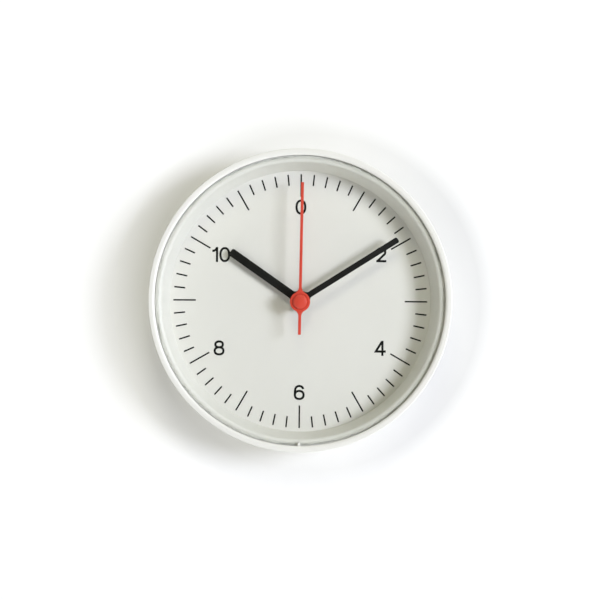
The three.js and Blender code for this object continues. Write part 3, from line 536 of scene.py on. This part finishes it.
card = {
    "inkLift": 0.01,
    "ink": 0.03,
    "markOuter": 112.7,
    "markLong": 20.0,
    "markShort": 9.9,
    "markWidth": 1.35,
    "numberCircle": 82.4,
    "numberHeight": 13.4,
    "numberWidth": 9.7,
    "stroke": 1.98,
    "ten": (-3.65, 3.25),  # where the two digits of 10 stand
    "moves": {
        "0": (-0.1, 1.0),
        "2": (0.3, 0.3),
        "4": (0.0, -0.4),
        "6": (-0.2, 1.1),
        "8": (-0.3, -1.2),
        "10": (0.7, -0.6),
    },
    "tuck": 0.7,  # the card runs this far into the foot of the inner wall
}
cardRadius = dialRadius + card["tuck"]
cardBack = dialHeight - cardThickness
cardProfile = [(cardRadius, cardBack), (cardRadius, dialHeight)]
cardProfile += [(shell["shaftHole"], dialHeight), (shell["shaftHole"], cardBack)]
dialDisc = revolved("dial_card_disc", cardProfile, shell["facets"])
give(dialDisc, "case", dialCard, "dial_white", "dial_plate")


def minuteMarks(size):
    # Sixty thin bars on one circle: each is a box whose long side points at the axis, and every fifth is
    # long.
    minute = np.arange(60)
    angle = minute * 2 * np.pi / 60
    length = np.where(minute % 5 == 0, size["markLong"], size["markShort"])
    side = np.array([-1, 1, 1, -1, -1, 1, 1, -1]) * size["markWidth"] / 2
    inner = np.array([0, 0, 1, 1, 0, 0, 1, 1])
    level = np.repeat([size["inkLift"], size["inkLift"] + size["ink"]], 4)
    radius = size["markOuter"] - inner * length[:, None]
    x = radius * np.sin(angle)[:, None] + side * np.cos(angle)[:, None]
    z = radius * np.cos(angle)[:, None] - side * np.sin(angle)[:, None]
    points = np.stack([axisX + x * mm, np.broadcast_to(dialY - level * mm, x.shape), axisZ + z * mm], axis=2)
    box = np.array([[0, 1, 2, 3], [4, 7, 6, 5], [0, 4, 5, 1], [1, 5, 6, 2], [2, 6, 7, 3], [3, 7, 4, 0]])
    faces = (minute[:, None, None] * 8 + box).reshape(-1, 4)
    mesh = bpy.data.meshes.new("dial_minute_marks")
    mesh.from_pydata(points.reshape(-1, 3).tolist(), [], faces.tolist())
    return finished("dial_minute_marks", mesh, 30, 1e-8)


def oval(centre, halfWidth, halfHeight, start, end, steps=40, squareness=0.9):
    # A superellipse's arc: x = a cos^p, y = b sin^p, angles in degrees, anticlockwise from the right.
    angle = np.radians(np.linspace(start, end, steps + 1))
    cosine, sine = np.cos(angle), np.sin(angle)
    x = centre[0] + halfWidth * np.sign(cosine) * np.abs(cosine) ** squareness
    y = centre[1] + halfHeight * np.sign(sine) * np.abs(sine) ** squareness
    return np.stack([x, y], axis=1)


def digitLines(size):
    # The middle lines of the digits' strokes, in a box of the number's size centred on 0.
    half = size["numberHeight"] / 2  # strokes that end square reach this far
    a = (size["numberWidth"] - size["stroke"]) / 2
    b = (size["numberHeight"] - size["stroke"]) / 2
    waist = 0.1 * b
    bowl = 0.62 * b  # half height of the six's bowl
    six = np.concatenate([oval((0, 0), a, b, 28, 180, 40, 0.82), oval((0, bowl - b), a, bowl, 180, 540, 60)])
    neck = oval((-0.1, 0.42 * b), a * 0.92, 0.58 * b, 172, -30)
    two = np.concatenate([neck, [(-0.80 * a, 0.3 - b)]])
    base = np.array([(-a - 0.6, -b), (a + 0.7, -b)])
    bar = -0.49 * b
    stem = 0.48 * a
    four = np.array([(stem - 0.45, half - 0.8), (-a - 0.1, bar), (a + 1.0, bar)])
    upper = oval((0, (b + waist) / 2), a * 0.85, (b - waist) / 2, -90, 270, 60)
    lower = oval((0, (waist - b) / 2), a, (b + waist) / 2, 90, 450, 60)
    flag = np.array([(-1.08, 0.55), (-0.62, 0.6), (-0.26, 0.76), (-0.06, 1.02)]) * (a, b)
    zero = oval((0, 0), a, b, 0, 360, 80)
    return {
        "0": [zero],
        "1": [np.array([(0, half), (0, -half)]), flag],
        "2": [two, base],
        "4": [np.array([(stem, half), (stem, -half)]), four],
        "6": [six],
        "8": [upper, lower],
    }


def strokeSurface(line, width, low, high):
    # A flat stroke of even width: four points round each point of the line, which stand on its mitre, and
    # end caps of no size.
    ahead = np.diff(line, axis=0)
    ahead = ahead / np.linalg.norm(ahead, axis=1, keepdims=True)
    before, after = np.vstack([ahead[:1], ahead]), np.vstack([ahead, ahead[-1:]])
    if np.allclose(line[0], line[-1], atol=1e-6):
        before[0], after[-1] = ahead[-1], ahead[0]
    mitre = before + after
    mitre /= np.linalg.norm(mitre, axis=1, keepdims=True)
    normal = np.stack([-mitre[:, 1], mitre[:, 0]], axis=1)
    stretch = 1 / np.maximum(np.sum(mitre * before, axis=1, keepdims=True), 0.4)
    side = normal * stretch * width / 2
    corners = ((-1, low), (1, low), (1, high), (-1, high))
    edges = [np.column_stack([line + sign * side, np.full(len(line), level)]) for sign, level in corners]
    grid = np.stack(edges, axis=1)
    caps = [np.repeat(grid[end].mean(axis=0)[None], 4, axis=0)[None] for end in (0, -1)]
    return np.concatenate([caps[0], grid, caps[1]])


def dialNumbers(size):
    # Each number stands upright on the number circle, at its own sixth of the turn, moved a little to look
    # centred beside the marks.
    lines = digitLines(size)
    pieces = []
    for place, (text, move) in enumerate(size["moves"].items()):
        angle = 2 * np.pi * place / len(size["moves"])
        middle = np.array([math.sin(angle), math.cos(angle)]) * size["numberCircle"] + move
        starts = [0.0] if len(text) == 1 else size["ten"]
        for digit, start in zip(text, starts):
            for line in lines[digit]:
                grid = strokeSurface(line + middle + (start, 0), size["stroke"], 0, size["ink"])
                x, z, lift = grid[..., 0], grid[..., 1], grid[..., 2] + size["inkLift"]
                points = np.stack([axisX + x * mm, dialY - lift * mm, axisZ + z * mm], axis=2)
                pieces.append(closedSurface("dial_number_part", points, aroundRows=False, sharpDegrees=30))
    return joinedPieces("dial_numbers", pieces)


def joinedPieces(name, pieces):
    # several finished meshes as one piece
    work = bmesh.new()
    for piece in pieces:
        work.from_mesh(piece.data)
        bpy.data.objects.remove(piece)
    return placed(name, work, 30)


give(minuteMarks(card), "case", dialInk, "hand_black")
give(dialNumbers(card), "case", dialInk, "hand_black")
print("dial made")


# ---- hands

blade = {
    "thickness": 0.75,
    "bevel": 0.14,
    "bossRadius": 4.2,
    "bossEdge": 0.3,
    "hour": {
        "hub": 8.7,
        "width": 7.2,
        "length": 75.5,
        "fillet": 3.5,
        "tip": 2.0,
        "angle": 304.8,
        "hole": 2.85,
        "sleeve": 2.0,  # from the blade's face down to the end of the boss
    },
    "minute": {
        "hub": 8.7,
        "width": 5.2,
        "length": 101.5,
        "fillet": 3.5,
        "tip": 1.6,
        "angle": 57.6,
        "hole": 1.85,
        "sleeve": 4.0,
    },
    "second": {
        "hub": 8.85,
        "width": 2.55,
        "length": 105.0,
        "fillet": 6.0,
        "tip": 0.35,
        "angle": 0.75,
        "hole": 2.1,
        "tail": 29.0,
        "tailTip": 0.15,
        "drop": 1.25,  # it is pressed on this far off centre, towards its tail
        "groove": [(7.15, 0), (6.95, 0.5), (6.35, 0.5), (6.25, 0)],  # round the cap
    },
}


def halfOutline(hand, reach, tip):
    # The right half of a blade above the hub, from the tip's middle down to the hub: a rounded corner, a
    # straight edge, and a fillet that meets the hub circle.
    half, hub, fillet = hand["width"] / 2, hand["hub"], hand["fillet"]
    centre = (half + fillet, math.sqrt((hub + fillet) ** 2 - (half + fillet) ** 2))
    touch = math.degrees(math.atan2(centre[1], centre[0]))
    corner = arcPoints((half - tip, reach - tip), tip, 90, 0, 8)
    edge = np.column_stack([np.full(12, half), np.linspace(reach - tip, centre[1], 14)[1:-1]])
    root = arcPoints(centre, fillet, 180, 180 + touch, 12)
    return np.concatenate([[(0, reach)], corner, edge, root]), touch


def handOutline(hand):
    # A whole outline, clockwise from the tip's middle: blade, hub, tail if it has one, hub and blade again.
    right, touch = halfOutline(hand, hand["length"], hand["tip"])
    if "tail" in hand:
        low = halfOutline(hand, hand["tail"], hand["tailTip"])[0] * (1, -1)
        hubArc = arcPoints((0, 0), hand["hub"], touch, -touch, 24)[1:-1]
        right = np.concatenate([right, hubArc, low[::-1]])
    else:
        right = np.concatenate([right, arcPoints((0, 0), hand["hub"], touch, -90, 40)[1:]])
    left = right[-2:0:-1] * (-1, 1)
    return np.concatenate([right, left])


def boss(name, hole, bottom, top):
    # the sleeve under a hand that grips its pipe
    radius, edge = blade["bossRadius"], blade["bossEdge"]
    profile = [(radius, bottom + edge), (radius, top), (hole, top), (hole, bottom), (radius - edge, bottom)]
    return revolved(name, profile, 64)


for kind in ("hour", "minute"):
    hand, body, top = blade[kind], kind + "_work", faceOf(kind + "_hand")
    under = top - blade["thickness"]
    shape = (handOutline(hand), hand["hole"], under, top, blade["bevel"], hand["angle"])
    give(plated(kind + "_blade", *shape), body, handBlack, "hand_black", kind + "_hand")
    grip = boss(kind + "_blade_boss", hand["hole"], top - hand["sleeve"], under)
    give(grip, body, handBlack, "hand_black")

hand = blade["second"]
secondTop = faceOf("second_hand")
hubAt = np.array([0.0, -hand["drop"]])
shape = (handOutline(hand) + hubAt, hand["hole"], secondTop - blade["thickness"], secondTop, blade["bevel"])
secondBlade = plated("second_blade", *shape, hand["angle"], hand["groove"], hubAt)
give(secondBlade, "second_work", handRed, "hand_red", "second_hand")

cap = {
    "radius": 6.3,
    "height": 1.75,
    "chamfer": 0.95,
    "round": 0.1,
    "skirt": 0.1,
    "bore": 1.8,
    "boreTop": 0.8,
}
lean = math.radians(hand["angle"])
capFront = secondTop + cap["height"]
chamferEnd = cap["radius"] - cap["chamfer"]
boreTop = secondTop + cap["boreTop"]
capProfile = [(0, boreTop), (cap["bore"], boreTop), (cap["bore"], secondTop)]
capProfile += [(cap["radius"] - cap["skirt"], secondTop), (cap["radius"], secondTop + cap["skirt"])]
capProfile += [(cap["radius"], capFront - cap["chamfer"])]
capProfile += [(chamferEnd + cap["round"], capFront - cap["round"])]
capProfile += [(chamferEnd - cap["round"], capFront), (0, capFront)]
capPlace = (hubAt[1] * math.sin(lean), hubAt[1] * math.cos(lean))
capSurface = revolved("second_cap", capProfile, 96, capPlace)
give(capSurface, "second_work", handRed, "cap_red", "second_hand_cap")
print("hands made")


# ---- back of the clock: cover, movement, battery

def softened(name, node, width, sharp=30.0):
    # A CAD node's own shape with its flat faces whole again and its edges rounded.
    work = bmesh.new()
    work.from_mesh(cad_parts[node].data)
    bmesh.ops.remove_doubles(work, verts=work.verts, dist=0.000005)
    bmesh.ops.dissolve_limit(work, angle_limit=math.radians(0.5), verts=work.verts, edges=work.edges)
    bmesh.ops.recalc_face_normals(work, faces=work.faces)
    piece = placed(name, work, sharp)
    bevel = piece.modifiers.new("edges", "BEVEL")
    bevel.width, bevel.segments, bevel.limit_method = width * mm, 2, "ANGLE"
    bevel.angle_limit = math.radians(sharp)
    bevel.harden_normals = False
    return piece


for node, name, material, slot, width in (
    ("rear_housing", "movement_case_back", movementBlack, "black_plastic", 0.2),
    ("front_housing", "movement_case_front", movementBlack, "black_plastic", 0.15),
    ("setting_knob", "hand_setting_knob", movementBlack, "black_plastic", 0.15),
    ("back_cover", "rear_cover", coverWhite, "white_plastic", 0.2),
):
    body = "minute_reduction" if node == "setting_knob" else "case"
    give(softened(name, node, width), body, material, slot, node)
print("back made")


# ---- everything inside keeps its CAD shape

ferriteTones = (tone(0.06, 0.06, 0.062), tone(0.085, 0.085, 0.09))
rubberTones = (tone(0.022, 0.022, 0.022), tone(0.03, 0.03, 0.03))
maskTones = (tone(0.02, 0.15, 0.06), tone(0.03, 0.19, 0.08))
sleeveTones = (tone(0.05, 0.08, 0.11), tone(0.04, 0.065, 0.09))
inside = {
    "bridge_plate": acetal,
    "rotor_pinion": acetal,
    "fifth_wheel": acetal,
    "second_wheel": acetal,
    "third_wheel": acetal,
    "centre_wheel": acetal,
    "minute_wheel": acetal,
    "hour_wheel": acetal,
    "coil_bobbin": acetal,
    "rotor_magnet": mouldedPlastic("magnet_ferrite", *ferriteTones, 0.55, 2500.0),
    "second_hand_tube": turnedBrass,
    "minute_arbor": turnedBrass,
    "centre_nut": turnedBrass,
    "nut_washer": turnedBrass,
    "clutch_spring": platedSteel,
    "stator_plate": platedSteel,
    "quartz_crystal": platedSteel,
    "positive_contact": platedSteel,
    "negative_contact": platedSteel,
    "battery_terminal": platedSteel,
    "coil_winding": copperWire,
    "clock_chip": movementBlack,
    "rubber_gasket": mouldedPlastic("gasket_rubber", *rubberTones, 0.8, 1200.0),
    "circuit_board": mouldedPlastic("board_mask", *maskTones, 0.35, 700.0),
    "battery_cell": mouldedPlastic("battery_sleeve", *sleeveTones, 0.25, 300.0),
}
inside.update({f"cover_screw_{number}": platedSteel for number in (1, 2, 3, 4)})
for node, material in inside.items():
    paint(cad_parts[node], material)
print("inner pieces finished")


# ---- stage, light and camera

stage = {
    "wallGap": 0.0004,
    "reach": 3.0,
    "floorDrop": 1.3,
    "cove": 0.35,
    # The shade entries and the tones below paint the clock's shadow on the wall: they set the backdrop's
    # glow, which is painted light, lower near the clock.
    "shadeRight": 0.01,  # the darkest place of the painted shadow on the wall, from the hands' axis
    "shadeEdge": (0.152, 0.182),  # distances from it over which the painted shadow fades into the painted light
    "shadeSides": (0.03, 0.13),  # to the right of it, from the left tones to the right ones
    "shadeEnds": (0.075, 0.125),  # above and below it, from the tones beside the clock to those at its ends
    "leftShadeTones": (tone(0.19, 0.188, 0.17), tone(0.25, 0.248, 0.23)),
    "rightShadeTones": (tone(0.09, 0.09, 0.085), tone(0.12, 0.12, 0.112)),
    "paintedLightTone": tone(0.43, 0.43, 0.425),
}


def backdrop(size):
    # A wall that turns into a floor along a quarter circle: a profile in Y and Z carried along X. Its faces
    # look towards the room.
    bend = np.radians(np.linspace(0, 90, 13))
    floorZ = cadLow.z - size["floorDrop"]
    back = wallY + size["wallGap"]
    y = np.concatenate([[back], back - size["cove"] * (1 - np.cos(bend)), [back - 2 * size["reach"]]])
    z = np.concatenate([[cadHigh.z + size["reach"]], floorZ + size["cove"] * (1 - np.sin(bend)), [floorZ]])
    x = np.array([-size["reach"], size["reach"]])
    grid = np.stack(np.broadcast_arrays(x, y[:, None], z[:, None]), axis=2)
    index = np.arange(len(y) * 2).reshape(-1, 2)
    faces = np.stack([index[:-1, 0], index[:-1, 1], index[1:, 1], index[1:, 0]], axis=1)[:, ::-1]
    mesh = bpy.data.meshes.new("backdrop")
    mesh.from_pydata(grid.reshape(-1, 3).tolist(), [], faces.tolist())
    mesh.shade_smooth()
    piece = bpy.data.objects.new("backdrop", mesh)
    bpy.context.scene.collection.objects.link(piece)
    return piece


def backdropPaintAndPaintedShade(size):
    # Pale matt paint, clear from behind so that the clock's back can be seen. It glows a little with painted
    # light, lower beside the clock, where the glow paints the clock's shadow on the wall instead of casting
    # it.
    recipe = Recipe("backdrop_paint_and_painted_shade")
    drift = recipe.spread(recipe.noise(2.0, 2.0), 0.3, 0.7)
    base = recipe.blend(drift, tone(0.60, 0.60, 0.595), tone(0.59, 0.59, 0.585))
    skin = recipe.bump(recipe.noise(900.0, 2.0), 0.05, 0.0001)
    darkest = (axisX + size["shadeRight"], wallY, axisZ)
    away = recipe.vectors("SUBTRACT", {0: recipe.place, 1: darkest}, 0)
    flat = recipe.vectors("MULTIPLY", {0: away, 1: (1.0, 0.0, 1.0)}, 0)
    reach = recipe.vectors("LENGTH", {0: flat}, "Value")
    parts = recipe.node("ShaderNodeSeparateXYZ", {}, {0: away})
    rightward = recipe.spread(parts.out("X"), *size["shadeSides"])
    upright = recipe.node("ShaderNodeMath", {"operation": "ABSOLUTE"}, {0: parts.out("Z")}).out(0)
    beside, endwise = (
        recipe.blend(rightward, left, right) for left, right in zip(size["leftShadeTones"], size["rightShadeTones"])
    )
    paintedShadeTone = recipe.blend(recipe.spread(upright, *size["shadeEnds"]), beside, endwise)
    # painted light on the wall, lower in a painted shadow beside the clock
    paintedWallLight = recipe.blend(recipe.spread(reach, *size["shadeEdge"]), paintedShadeTone, size["paintedLightTone"])
    matt = recipe.principled(
        Base_Color=base, Roughness=0.9, Normal=skin, Emission_Color=paintedWallLight, Emission_Strength=1.0
    )
    behind = recipe.node("ShaderNodeNewGeometry", {}, {}).out("Backfacing")
    return recipe.done(recipe.mixed(behind, matt, recipe.clear()))


room = backdrop(stage)
paint(room, backdropPaintAndPaintedShade(stage))
room.visible_shadow = False  # light from behind reaches the clock's back through it

middle = Vector((axisX, dialY, axisZ))


def softBox(name, azimuth, elevation, distance, size, watts, color):
    # a round area light that faces the dial; azimuth 0 is straight in front, positive to the right
    a, e = math.radians(azimuth), math.radians(elevation)
    direction = Vector((math.sin(a) * math.cos(e), -math.cos(a) * math.cos(e), math.sin(e)))
    light = bpy.data.lights.new(name, "AREA")
    light.shape, light.size, light.energy, light.color = "DISK", size, watts, color
    lamp = bpy.data.objects.new(name, light)
    lamp.location = middle + direction * distance
    lamp.rotation_euler = direction.to_track_quat("Z", "Y").to_euler()
    bpy.context.scene.collection.objects.link(lamp)
    return lamp


studioLights = {
    "key": (47, 5.5, 3.0, 1.1, 86, (0.85, 0.875, 1.0)),  # azimuth, elevation, distance, size, watts, colour
    "rear": (205, 25, 2.2, 1.2, 22, (1.0, 1.0, 1.0)),
    "fillWatts": {"left": 2.5, "right": 4.5, "top": 13, "bottom": 2},
    "fillColor": (1.0, 0.985, 0.76),
    "fillSpread": 46,
    "fillDistance": 2.2,
    "fillSize": 0.9,
}
fillSides = {"left": (-1, 0), "right": (1, 0), "top": (0, 1), "bottom": (0, -1)}
softBox("key_light", *studioLights["key"])
for side, directions in fillSides.items():
    angles = [way * studioLights["fillSpread"] for way in directions]
    build = (studioLights["fillDistance"], studioLights["fillSize"])
    softBox(side + "_fill", *angles, *build, studioLights["fillWatts"][side], studioLights["fillColor"])
softBox("rear_fill", *studioLights["rear"])

world = bpy.data.worlds.new("studio")
world.use_nodes = True
sky = world.node_tree.nodes["Background"]
sky.inputs["Color"].default_value = tone(1.0, 0.985, 0.95)
sky.inputs["Strength"].default_value = 0.05
bpy.context.scene.world = world
bpy.context.scene.view_settings.view_transform = "Standard"

camera = {"distance": 1.3, "below": 0.0356, "right": 0.010, "frameWidth": 0.5217, "roll": 0.48}
cameraData = bpy.data.cameras.new("front_camera")
cameraData.sensor_width = 36.0
cameraData.lens = cameraData.sensor_width * camera["distance"] / camera["frameWidth"]
viewer = bpy.data.objects.new("front_camera", cameraData)
bpy.context.scene.collection.objects.link(viewer)
rimMiddle = Vector((axisX, rimY, axisZ))
viewer.location = rimMiddle + Vector((camera["right"], -camera["distance"], -camera["below"]))
aim = rimMiddle - viewer.location
turned = aim.to_track_quat("-Z", "Y") @ Quaternion((0, 0, 1), math.radians(camera["roll"]))
viewer.rotation_euler = turned.to_euler()
bpy.context.scene.camera = viewer
print("stage, light and camera made")
